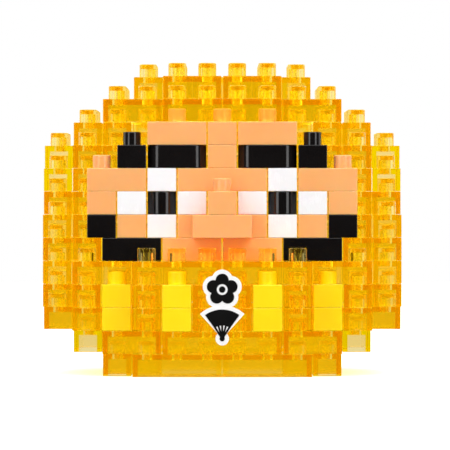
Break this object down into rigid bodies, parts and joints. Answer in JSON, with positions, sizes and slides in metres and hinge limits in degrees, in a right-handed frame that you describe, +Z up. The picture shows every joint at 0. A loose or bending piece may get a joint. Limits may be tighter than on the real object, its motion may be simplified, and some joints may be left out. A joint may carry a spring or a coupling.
{
  "type": "daruma doll",
  "caption": "Round daruma doll assembled from small studded clutch bricks: clear yellow body, peach face wall, black brows and moustache, white eyes, belly stripes and a plain emblem label.",
  "frame": {"origin": "middle of the flat base, at the bottom rim of the lowest course", "axes": "+Z up, -Y out of the face, +X to the doll's left"},
  "size_m": [0.0478, 0.048, 0.0418],
  "materials": {
    "clear_yellow": "clear yellow moulded plastic, polished",
    "solid_yellow": "solid bright yellow moulded plastic, glossy",
    "peach": "solid peach moulded plastic, satin gloss",
    "black": "solid black moulded plastic, glossy",
    "white": "solid white moulded plastic, glossy",
    "label": "white vinyl label, satin",
    "label_ink": "black printing ink, matt"
  },
  "bodies": {
    "root": {"brow_bridge_brick": "peach", "brow_ridge_brick": "peach", "cheek_bricks": "peach", "chin_bricks": "peach", "course_01_bricks_1x2": "clear_yellow", "course_01_bricks_1x3": "clear_yellow", "course_01_bricks_1x6": "clear_yellow", "course_02_bricks_1x2": "clear_yellow", "course_02_bricks_1x4": "clear_yellow", "course_02_bricks_1x6": "clear_yellow", "course_03_bricks_1x2": "clear_yellow", "course_03_bricks_1x3": "clear_yellow", "course_04_bricks_1x1": "clear_yellow", "course_04_bricks_1x2": "clear_yellow", "course_05_bricks_1x2": "clear_yellow", "course_05_bricks_1x3": "clear_yellow", "course_05_bricks_1x4": "clear_yellow", "course_06_bricks_1x1": "clear_yellow", "course_06_bricks_1x2": "clear_yellow", "course_07_bricks_1x2": "clear_yellow", "course_07_bricks_1x3": "clear_yellow", "course_07_bricks_1x4": "clear_yellow", "course_08_bricks_1x1": "clear_yellow", "course_08_bricks_1x2": "clear_yellow", "course_09_bricks_1x3": "clear_yellow", "course_09_bricks_1x4": "clear_yellow", "course_09_bricks_1x6": "clear_yellow", "course_10_bricks_1x2": "clear_yellow", "course_10_bricks_1x3": "clear_yellow", "course_10_bricks_1x4": "clear_yellow", "course_11_bricks_1x2": "clear_yellow", "course_11_bricks_1x3": "clear_yellow", "course_11_bricks_1x4": "clear_yellow", "course_12_bricks_1x2": "clear_yellow", "course_12_bricks_1x4": "clear_yellow", "course_13_bricks_1x2": "clear_yellow", "course_13_bricks_1x6": "clear_yellow", "eyebrow_tips": "black", "eyebrows": "black", "forehead_centre_brick": "peach", "forehead_side_bricks": "peach", "inner_eye_whites": "white", "inner_stripe_bricks": "solid_yellow", "label_backing": "label", "label_blossom_print": "label_ink", "label_fan_print": "label_ink", "lip_brick": "peach", "lower_cheek_bricks": "peach", "lower_eye_whites": "white", "moustache_bricks": "black", "moustache_tips": "black", "nose_bridge_brick": "peach", "nostril_brick": "peach", "outer_eye_whites": "white", "outer_stripe_bricks": "solid_yellow", "pupils": "black", "upper_cheek_bricks": "peach", "upper_eye_whites": "white"}
  },
  "joints": []
}
